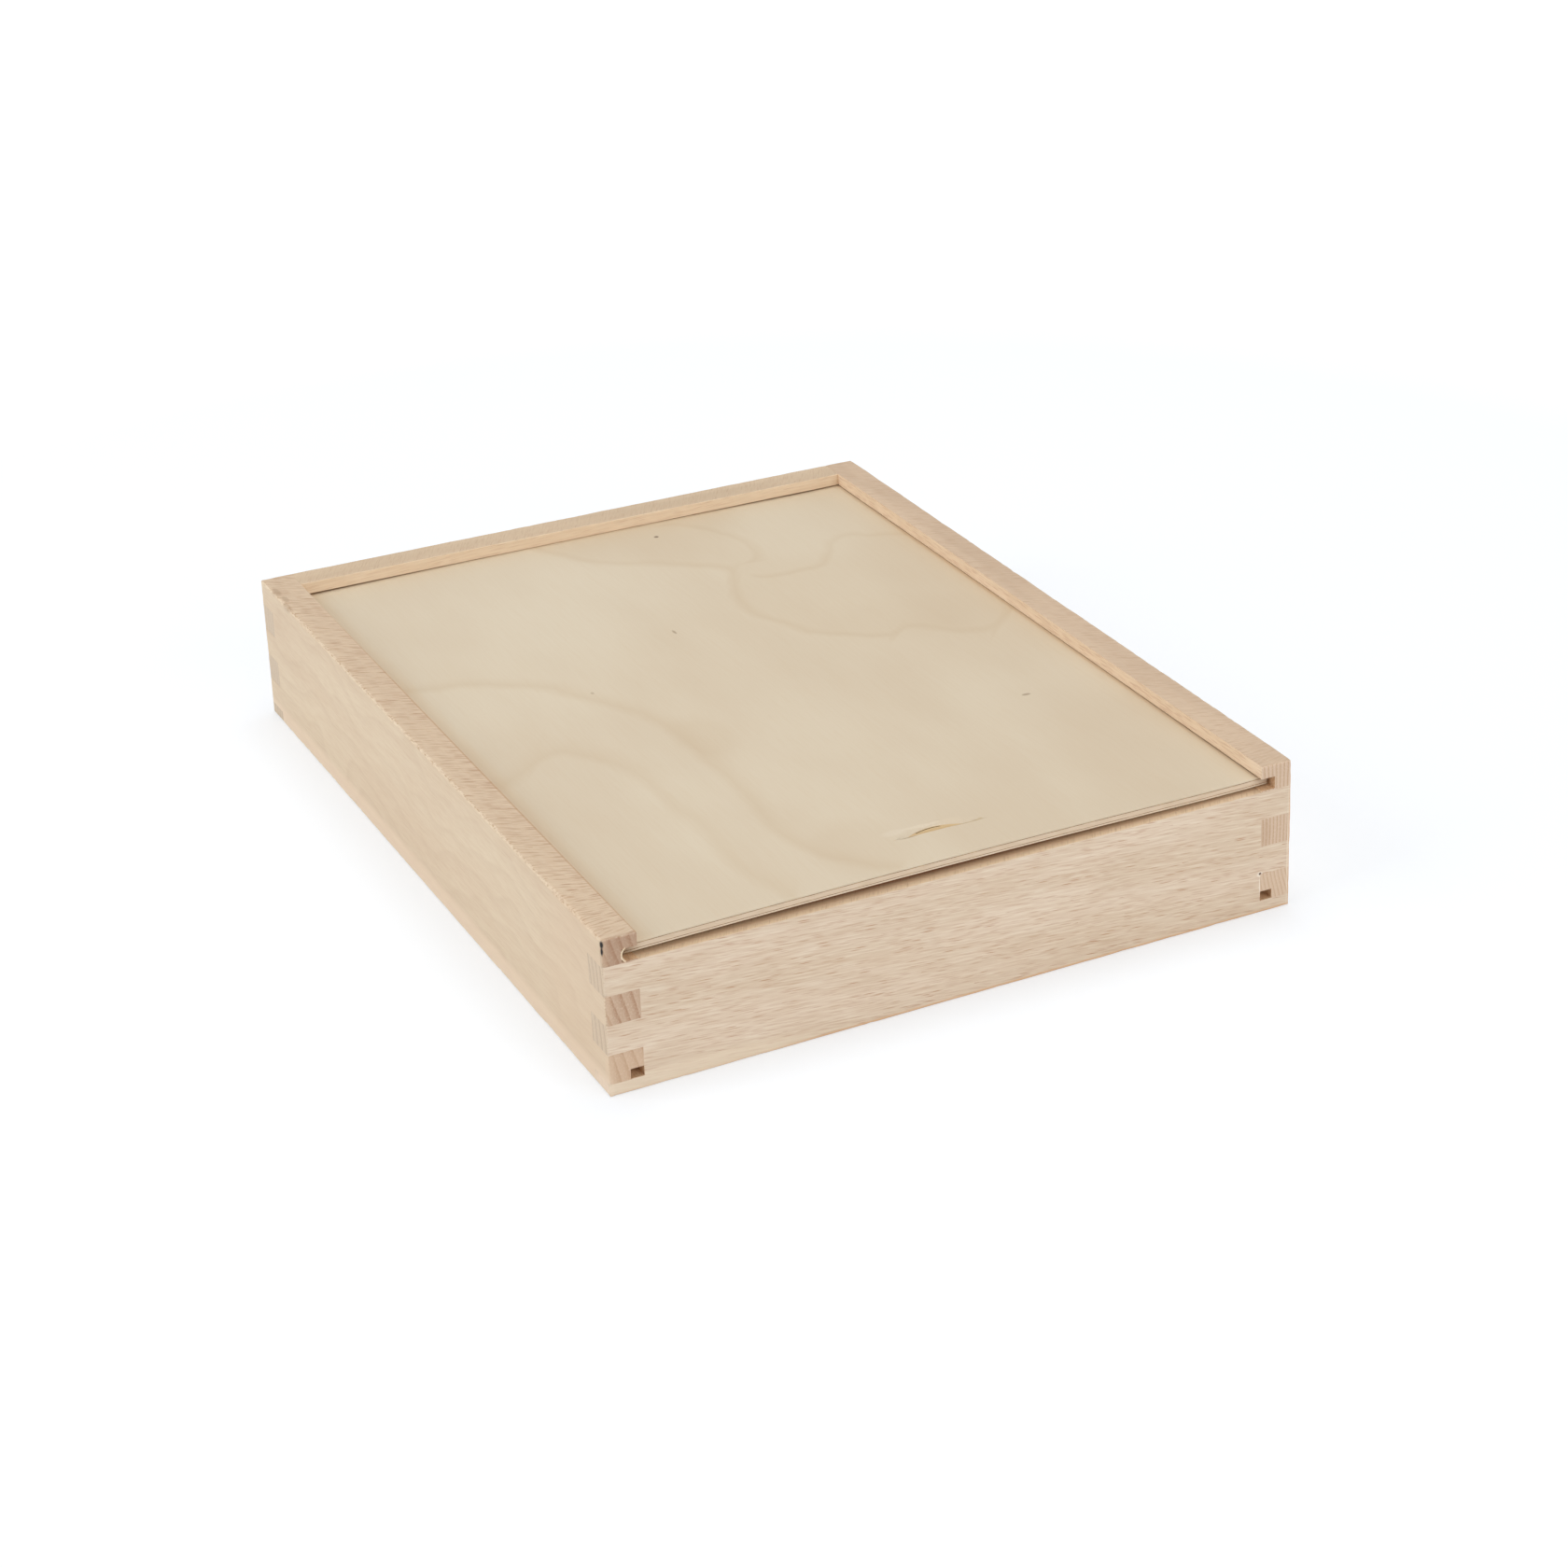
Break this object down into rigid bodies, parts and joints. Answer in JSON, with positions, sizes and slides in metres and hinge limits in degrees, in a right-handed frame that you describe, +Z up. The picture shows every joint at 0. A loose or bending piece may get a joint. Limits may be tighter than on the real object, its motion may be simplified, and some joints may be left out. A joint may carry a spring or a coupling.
{
  "type": "sliding lid box",
  "caption": "Flat rectangular wooden box with finger-jointed corners, a grooved-in plywood floor and a plywood lid with a thumb notch that slides out over the low front board.",
  "frame": {"origin": "centre of the footprint, on the surface that the box stands on", "axes": "+Z up; the front, where the lid draws out, faces -Y; +Y runs to the back; +X is across the front, to the right as seen from the front"},
  "size_m": [0.244, 0.321, 0.0535],
  "materials": {
    "side_board_wood": "planed and finely sanded, bare",
    "end_board_wood": "planed and finely sanded, bare",
    "face_veneer": "finely sanded, bare",
    "core_ply": "sawn edge, bare"
  },
  "bodies": {
    "box": {"left_side_board": "side_board_wood", "right_side_board": "side_board_wood", "front_board": "end_board_wood", "back_board": "end_board_wood", "floor_bottom_veneer": "face_veneer", "floor_core_ply": "core_ply", "floor_top_veneer": "face_veneer"},
    "lid": {"lid_bottom_veneer": "face_veneer", "lid_core_ply": "core_ply", "lid_top_veneer": "face_veneer"}
  },
  "joints": [
    {"name": "lid_slide", "type": "slide", "parent": "box", "child": "lid", "axis": [0, -1, 0], "range_m": [0, 0.302]}
  ]
}
